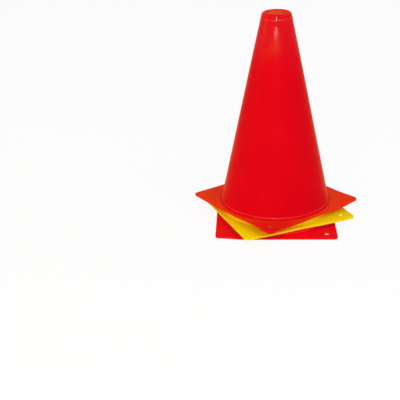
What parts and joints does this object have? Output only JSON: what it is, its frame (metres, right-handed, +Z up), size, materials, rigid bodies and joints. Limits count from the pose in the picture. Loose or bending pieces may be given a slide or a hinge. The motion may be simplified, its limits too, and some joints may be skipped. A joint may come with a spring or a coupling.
{
  "type": "nest of marker cones",
  "caption": "Hollow plastic marker cones on square base plates, open at the top and nested into each other, with a hang hole in each plate",
  "frame": {"origin": "on the cones' common axis, at the underside of the lowest plate", "axes": "+Z up along the cones' axis, +X and +Y square to the sides of the lowest plate"},
  "size_m": [0.1932, 0.1932, 0.2452],
  "materials": {
    "red_plastic": "smooth semi-gloss moulded polyethylene, red",
    "yellow_plastic": "smooth semi-gloss moulded polyethylene, yellow"
  },
  "bodies": {
    "bottom": {"bottom_cone": "red_plastic"},
    "middle": {"middle_cone": "yellow_plastic"},
    "top": {"top_cone": "red_plastic"}
  },
  "joints": [
    {"name": "middle_lift", "type": "slide", "parent": "bottom", "child": "middle", "axis": [0, 0, 1], "range_m": [0, 0.23]},
    {"name": "top_lift", "type": "slide", "parent": "middle", "child": "top", "axis": [0, 0, 1], "range_m": [0, 0.23]}
  ]
}
